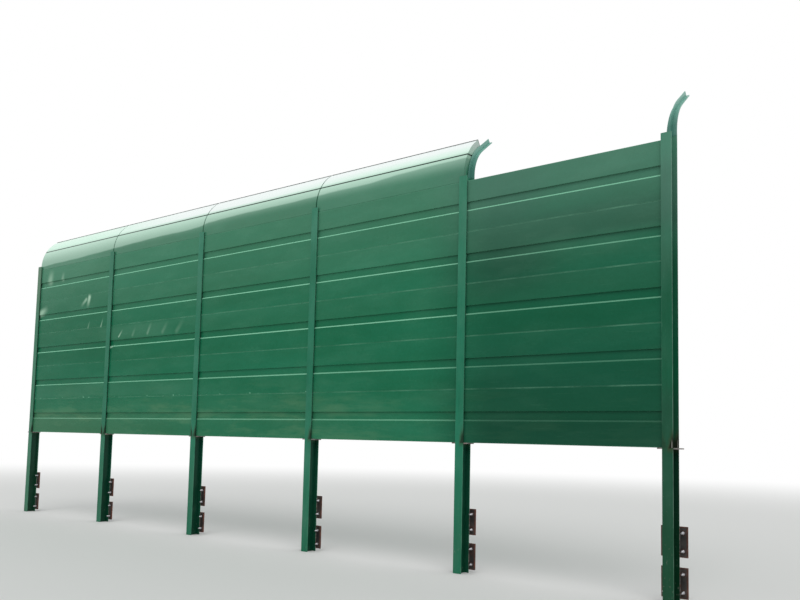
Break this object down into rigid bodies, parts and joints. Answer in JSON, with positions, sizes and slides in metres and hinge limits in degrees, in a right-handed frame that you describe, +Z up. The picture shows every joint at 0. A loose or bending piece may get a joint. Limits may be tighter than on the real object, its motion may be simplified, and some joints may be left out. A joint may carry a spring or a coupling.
{
  "type": "noise barrier section",
  "caption": "Wall-mounted roadside noise barrier run: steel H posts holding stacked green sound panels, with a top that curves back over the road.",
  "frame": {"origin": "middle of the back face of the upper wall plate on the third post from the left", "axes": "+X along the barrier to the right as seen from outside, +Y back into the parapet, +Z up"},
  "size_m": [10.215, 0.4535, 4.239],
  "materials": {
    "post_paint": "glossy green paint, dusty, burnt and rusty near the seat plates",
    "arm_paint": "glossy green paint",
    "panel_paint": "glossy green coated sheet, dusty and slightly dented",
    "curved_panel_paint": "glossy green coated sheet",
    "edge_paint": "darker green coated strip",
    "seal_rubber": "matt black rubber",
    "plate_steel": "bare dark steel with rusty edges",
    "seat_steel": "bare steel, scuffed and lightly rusted"
  },
  "bodies": {
    "root": {"post_1": "post_paint", "post_2": "post_paint", "post_3": "post_paint", "post_4": "post_paint", "post_5": "post_paint", "post_6": "post_paint", "curved_arms": "arm_paint", "panel_1_1": "panel_paint", "panel_1_2": "panel_paint", "panel_1_3": "panel_paint", "panel_1_4": "panel_paint", "panel_1_5": "panel_paint", "panel_2_1": "panel_paint", "panel_2_2": "panel_paint", "panel_2_3": "panel_paint", "panel_2_4": "panel_paint", "panel_2_5": "panel_paint", "panel_3_1": "panel_paint", "panel_3_2": "panel_paint", "panel_3_3": "panel_paint", "panel_3_4": "panel_paint", "panel_3_5": "panel_paint", "panel_4_1": "panel_paint", "panel_4_2": "panel_paint", "panel_4_3": "panel_paint", "panel_4_4": "panel_paint", "panel_4_5": "panel_paint", "panel_5_1": "panel_paint", "panel_5_2": "panel_paint", "panel_5_3": "panel_paint", "panel_5_4": "panel_paint", "panel_5_5": "panel_paint", "curved_panel_lower_1": "curved_panel_paint", "curved_panel_lower_2": "curved_panel_paint", "curved_panel_lower_3": "curved_panel_paint", "curved_panel_lower_4": "curved_panel_paint", "curved_panel_upper_1": "curved_panel_paint", "curved_panel_upper_2": "curved_panel_paint", "curved_panel_upper_3": "curved_panel_paint", "curved_panel_upper_4": "curved_panel_paint", "top_edge_strips": "edge_paint", "seal_strips": "seal_rubber", "wall_plates": "plate_steel", "seat_plates": "seat_steel"}
  },
  "joints": []
}
